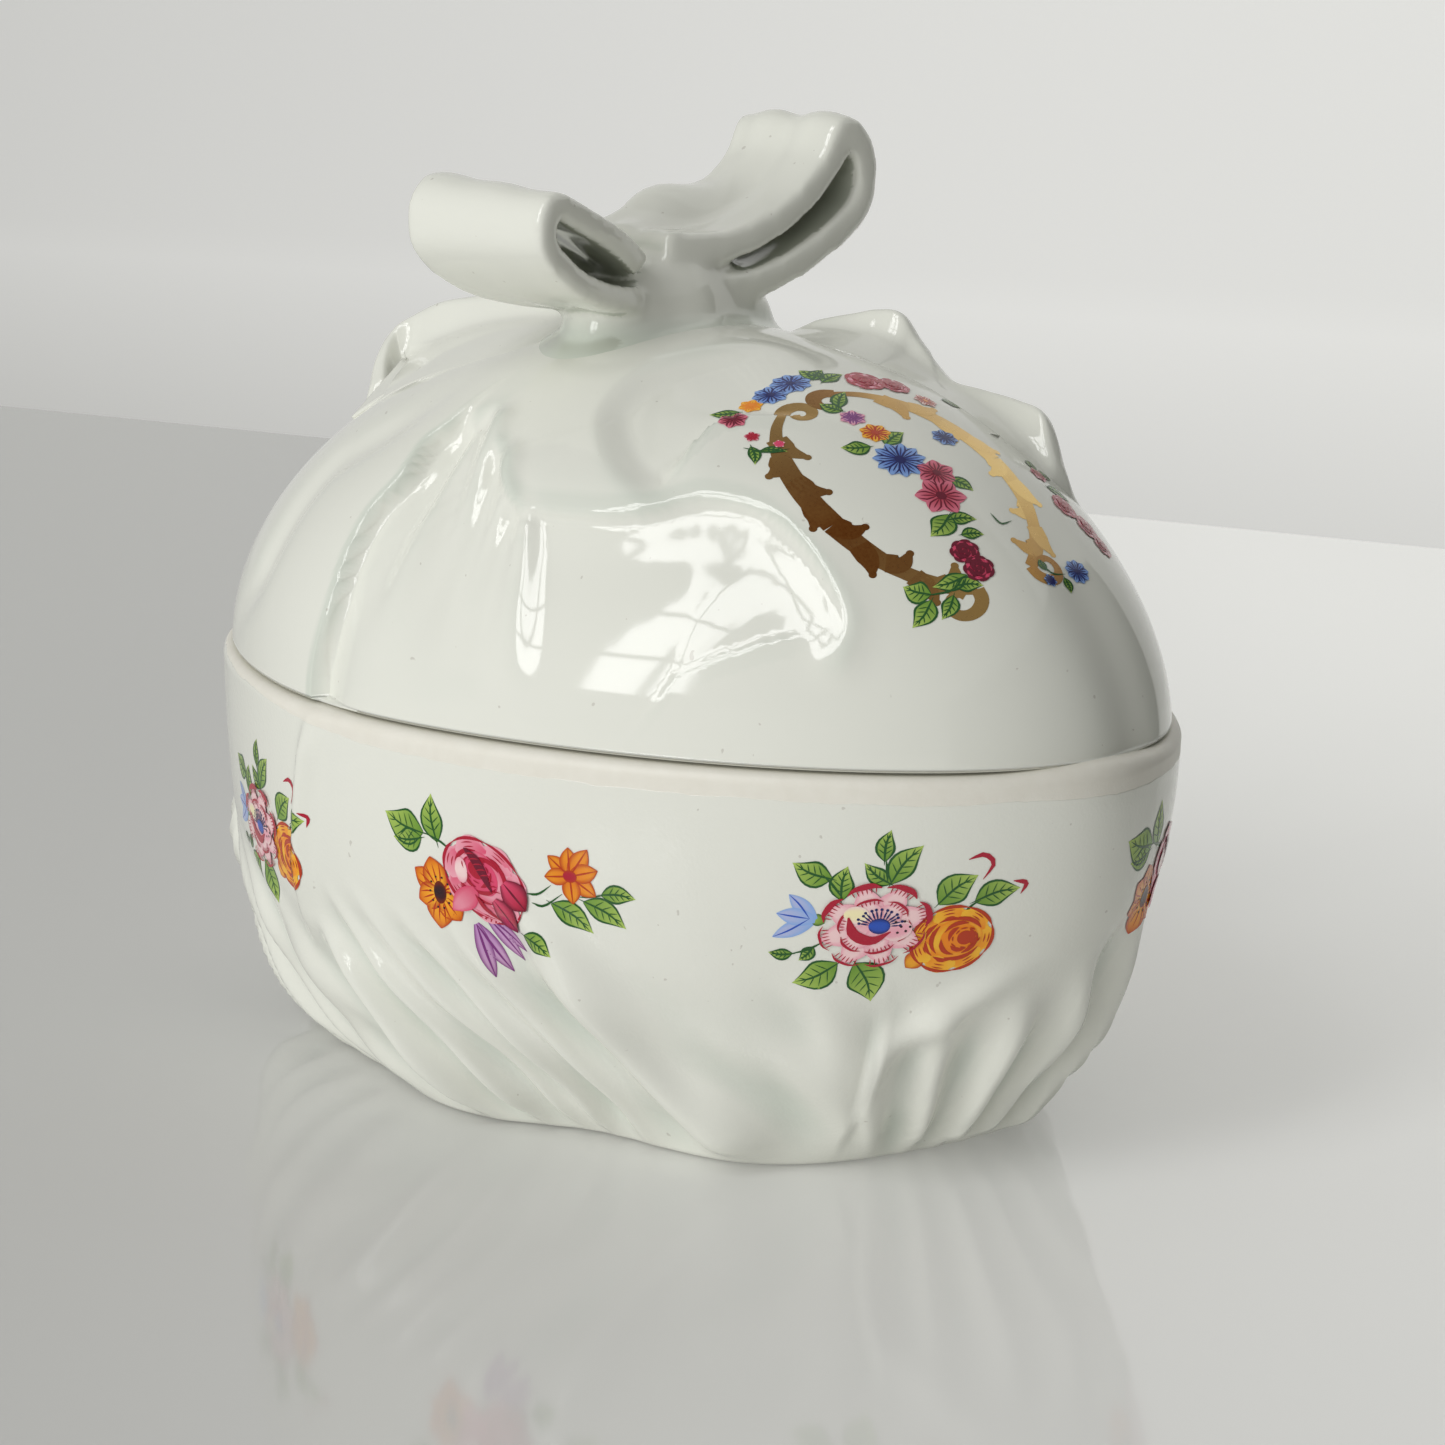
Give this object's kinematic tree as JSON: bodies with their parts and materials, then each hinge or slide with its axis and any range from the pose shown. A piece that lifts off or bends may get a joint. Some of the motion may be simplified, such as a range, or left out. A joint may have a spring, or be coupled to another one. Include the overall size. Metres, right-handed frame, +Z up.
{
  "type": "porcelain trinket box",
  "caption": "Egg-shaped porcelain trinket box lying on its side, wrapped in modelled cloth, with a lift-off domed lid and a ribbon bow, painted with flower sprays.",
  "frame": {"origin": "on the surface the box stands on, under the middle of its length and width", "axes": "+Z up; +X along the box's length, towards the narrow end of the egg; the loops of the bow point along -Y and +Y"},
  "size_m": [0.1289, 0.0913, 0.1089],
  "materials": {
    "glazed_porcelain": "white porcelain under a clear, very glossy glaze, bare and matt on the rim of the bowl",
    "painted_enamel": "glossy fired enamel flowers in pink, orange, blue, violet and green",
    "gilding": "burnished gold lustre, thin and bright"
  },
  "bodies": {
    "bowl": {"bowl": "glazed_porcelain"},
    "lid": {"lid_shell": "glazed_porcelain", "bow_knot": "glazed_porcelain", "bow_loop_left": "glazed_porcelain", "bow_loop_right": "glazed_porcelain", "ribbon_tail_left": "glazed_porcelain", "ribbon_tail_right": "glazed_porcelain"}
  },
  "joints": [
    {"name": "lid_lift", "type": "slide", "parent": "bowl", "child": "lid", "axis": [0, 0, 1], "range_m": [0, 0.08]}
  ]
}
